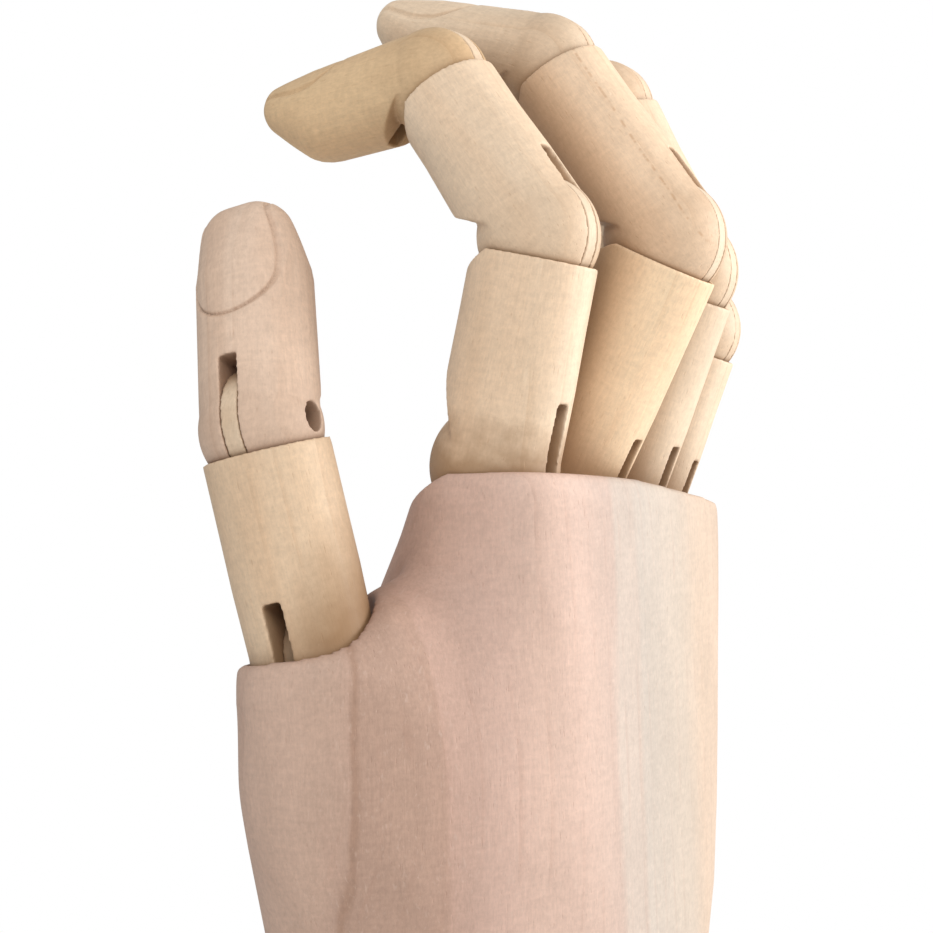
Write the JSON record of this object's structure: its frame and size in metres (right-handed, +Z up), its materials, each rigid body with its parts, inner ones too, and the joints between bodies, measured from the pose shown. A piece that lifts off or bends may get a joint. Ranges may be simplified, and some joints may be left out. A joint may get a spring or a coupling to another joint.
{
  "type": "artist mannequin hand",
  "caption": "Jointed wooden right hand on a round forearm stand; turned finger segments with ball and tongue joints and screw pivots, for posing and drawing.",
  "frame": {"origin": "centre of the forearm stand's flat underside", "axes": "+Z up the forearm towards the fingers, +X towards the thumb side, +Y towards the back of the hand"},
  "size_m": [0.1231, 0.0792, 0.2712],
  "materials": {
    "palm_wood": "sanded, unvarnished, pinkish beige",
    "finger_wood": "sanded, unvarnished, cream",
    "tongue_wood": "sanded, end grain",
    "screw_steel": "zinc plated, dull",
    "fitting_steel": "zinc plated, dull",
    "spring_steel": "bright wire",
    "felt": "dark grey felt"
  },
  "bodies": {
    "stand": {"forearm_stand": "palm_wood", "foot_pad": "felt", "wrist_spring": "spring_steel", "spring_washer": "fitting_steel"},
    "swivel": {"eye_bolt": "fitting_steel", "wrist_nut": "fitting_steel"},
    "palm": {"palm": "palm_wood", "wrist_pin": "fitting_steel", "index_tongue_1": "tongue_wood", "middle_tongue_1": "tongue_wood", "ring_tongue_1": "tongue_wood", "little_tongue_1": "tongue_wood", "thumb_tongue_1": "tongue_wood"},
    "index_proximal": {"index_proximal": "finger_wood", "index_screw_1": "screw_steel", "index_tongue_2": "tongue_wood"},
    "index_middle": {"index_middle": "finger_wood", "index_screw_2": "screw_steel", "index_tongue_3": "tongue_wood"},
    "index_distal": {"index_distal": "finger_wood", "index_screw_3": "screw_steel"},
    "middle_proximal": {"middle_proximal": "finger_wood", "middle_screw_1": "screw_steel", "middle_tongue_2": "tongue_wood"},
    "middle_middle": {"middle_middle": "finger_wood", "middle_screw_2": "screw_steel", "middle_tongue_3": "tongue_wood"},
    "middle_distal": {"middle_distal": "finger_wood", "middle_screw_3": "screw_steel"},
    "ring_proximal": {"ring_proximal": "finger_wood", "ring_screw_1": "screw_steel", "ring_tongue_2": "tongue_wood"},
    "ring_middle": {"ring_middle": "finger_wood", "ring_screw_2": "screw_steel", "ring_tongue_3": "tongue_wood"},
    "ring_distal": {"ring_distal": "finger_wood", "ring_screw_3": "screw_steel"},
    "little_proximal": {"little_proximal": "finger_wood", "little_screw_1": "screw_steel", "little_tongue_2": "tongue_wood"},
    "little_middle": {"little_middle": "finger_wood", "little_screw_2": "screw_steel", "little_tongue_3": "tongue_wood"},
    "little_distal": {"little_distal": "finger_wood", "little_screw_3": "screw_steel"},
    "thumb_proximal": {"thumb_proximal": "finger_wood", "thumb_screw_1": "screw_steel", "thumb_tongue_2": "tongue_wood"},
    "thumb_distal": {"thumb_distal": "finger_wood", "thumb_screw_2": "screw_steel"}
  },
  "joints": [
    {"name": "wrist_swivel", "type": "hinge", "parent": "stand", "child": "swivel", "pos_m": [0, 0, 0.072], "axis": [0, 0, 1], "range_deg": [-180, 180]},
    {"name": "wrist_tilt", "type": "hinge", "parent": "swivel", "child": "palm", "pos_m": [0, 0, 0.072], "axis": [1, 0, 0], "range_deg": [-25, 25]},
    {"name": "index_knuckle", "type": "hinge", "parent": "palm", "child": "index_proximal", "pos_m": [0.0342, 0, 0.184], "axis": [-0.9945, 0.1045, 0], "range_deg": [-60.5, 15.5]},
    {"name": "index_middle_joint", "type": "hinge", "parent": "index_proximal", "child": "index_middle", "pos_m": [0.0351, 0.00857, 0.22286], "axis": [-0.9945, 0.1045, 0], "range_deg": [-37, 53]},
    {"name": "index_end_joint", "type": "hinge", "parent": "index_middle", "child": "index_distal", "pos_m": [0.03298, -0.01165, 0.25135], "axis": [-0.9945, 0.1045, 0], "range_deg": [-20.5, 69.5]},
    {"name": "middle_knuckle", "type": "hinge", "parent": "palm", "child": "middle_proximal", "pos_m": [0.0114, 0.0022, 0.1828], "axis": [1, 0, 0], "range_deg": [-2, 74]},
    {"name": "middle_middle_joint", "type": "hinge", "parent": "middle_proximal", "child": "middle_middle", "pos_m": [0.0114, 0.02258, 0.22459], "axis": [1, 0, 0], "range_deg": [-66, 24]},
    {"name": "middle_end_joint", "type": "hinge", "parent": "middle_middle", "child": "middle_distal", "pos_m": [0.0114, -0.00007, 0.25695], "axis": [1, 0, 0], "range_deg": [-46, 44]},
    {"name": "ring_knuckle", "type": "hinge", "parent": "palm", "child": "ring_proximal", "pos_m": [-0.0114, 0.0018, 0.1816], "axis": [1, 0, 0], "range_deg": [-7, 61]},
    {"name": "ring_middle_joint", "type": "hinge", "parent": "ring_proximal", "child": "ring_middle", "pos_m": [-0.0114, 0.01721, 0.22174], "axis": [1, 0, 0], "range_deg": [-52, 38]},
    {"name": "ring_end_joint", "type": "hinge", "parent": "ring_middle", "child": "ring_distal", "pos_m": [-0.0114, 0.00209, 0.25275], "axis": [1, 0, 0], "range_deg": [-50, 40]},
    {"name": "little_knuckle", "type": "hinge", "parent": "palm", "child": "little_proximal", "pos_m": [-0.0342, -0.0022, 0.1804], "axis": [0.9976, 0.0698, 0], "range_deg": [-7.5, 60.5]},
    {"name": "little_middle_joint", "type": "hinge", "parent": "little_proximal", "child": "little_middle", "pos_m": [-0.03507, 0.0102, 0.21365], "axis": [0.9976, 0.0698, 0], "range_deg": [-55, 35]},
    {"name": "little_end_joint", "type": "hinge", "parent": "little_middle", "child": "little_distal", "pos_m": [-0.03411, -0.00355, 0.23802], "axis": [0.9976, 0.0698, 0], "range_deg": [-47, 43]},
    {"name": "thumb_knuckle", "type": "hinge", "parent": "palm", "child": "thumb_proximal", "pos_m": [0.0612, -0.0202, 0.1515], "axis": [0.0243, 0.9799, 0.1979], "range_deg": [-10, 10]},
    {"name": "thumb_end_joint", "type": "hinge", "parent": "thumb_proximal", "child": "thumb_distal", "pos_m": [0.06582, -0.02792, 0.18914], "axis": [-0.0243, -0.9799, -0.1979], "range_deg": [-26, 59]}
  ]
}
